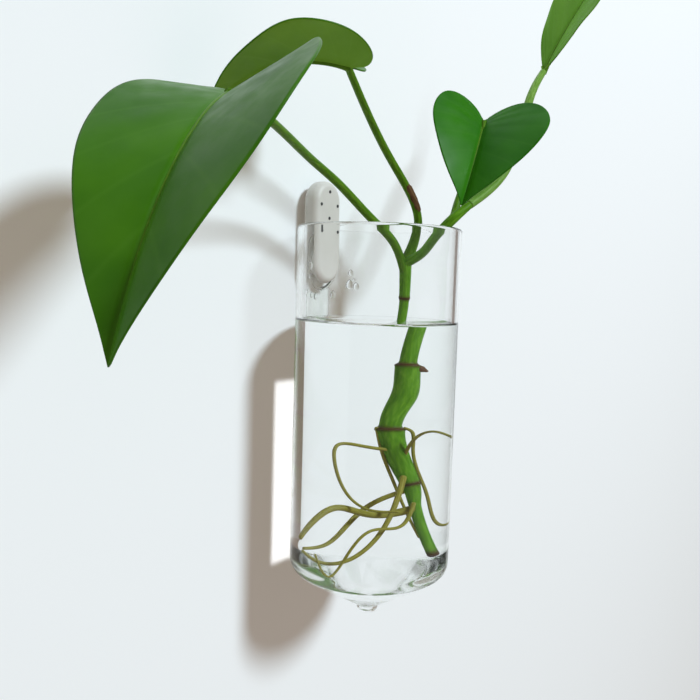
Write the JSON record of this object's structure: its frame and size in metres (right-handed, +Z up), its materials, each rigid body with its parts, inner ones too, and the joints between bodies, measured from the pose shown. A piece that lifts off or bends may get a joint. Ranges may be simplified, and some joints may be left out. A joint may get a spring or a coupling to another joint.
{
  "type": "propagation vase",
  "caption": "Wall-hung glass tube vase on an adhesive plate with a peg hook, holding a rooted pothos cutting with heart-shaped leaves.",
  "frame": {"origin": "centre of the adhesive pad's back face, on the wall plane", "axes": "+Z up, +Y into the wall, +X to the right when facing the wall; the vase is on the -Y side"},
  "size_m": [0.2428, 0.0965, 0.2697],
  "materials": {
    "adhesive": "soft, translucent",
    "clear_plate": "clear, polished",
    "peg_plastic": "moulded, semi-gloss",
    "dot_ink": "matte",
    "glass": "clear, fire-polished",
    "leaf_green": "waxy, glossy",
    "stem_green": "waxy, smooth",
    "root_pale": "moist, fine-haired",
    "dry_husk": "dry, papery"
  },
  "bodies": {
    "wall_mount": {"adhesive_pad": "adhesive", "mount_plate": "clear_plate", "hook_peg": "peg_plastic", "spine_dots": "dot_ink"},
    "vase": {"glass_tube": "glass"},
    "cutting": {"main_stem": "stem_green", "shoot_stem": "stem_green", "petiole_left": "stem_green", "petiole_top": "stem_green", "petiole_right": "stem_green", "petiole_young": "stem_green", "sheath_green": "stem_green", "sheath_dry": "dry_husk", "root_bud": "dry_husk", "leaf_left": "leaf_green", "leaf_top": "leaf_green", "leaf_right": "leaf_green", "leaf_young": "leaf_green", "root_main": "root_pale", "root_loop": "root_pale", "root_deep": "root_pale", "root_back": "root_pale", "root_fine": "root_pale", "root_right": "root_pale"}
  },
  "joints": [
    {"name": "vase_tilt", "type": "hinge", "parent": "wall_mount", "child": "vase", "pos_m": [0, -0.0038, 0.0156], "axis": [-1, 0, 0], "range_deg": [0, 8]},
    {"name": "cutting_lift", "type": "slide", "parent": "vase", "child": "cutting", "axis": [0, 0, 1], "range_m": [0, 0.14]}
  ]
}
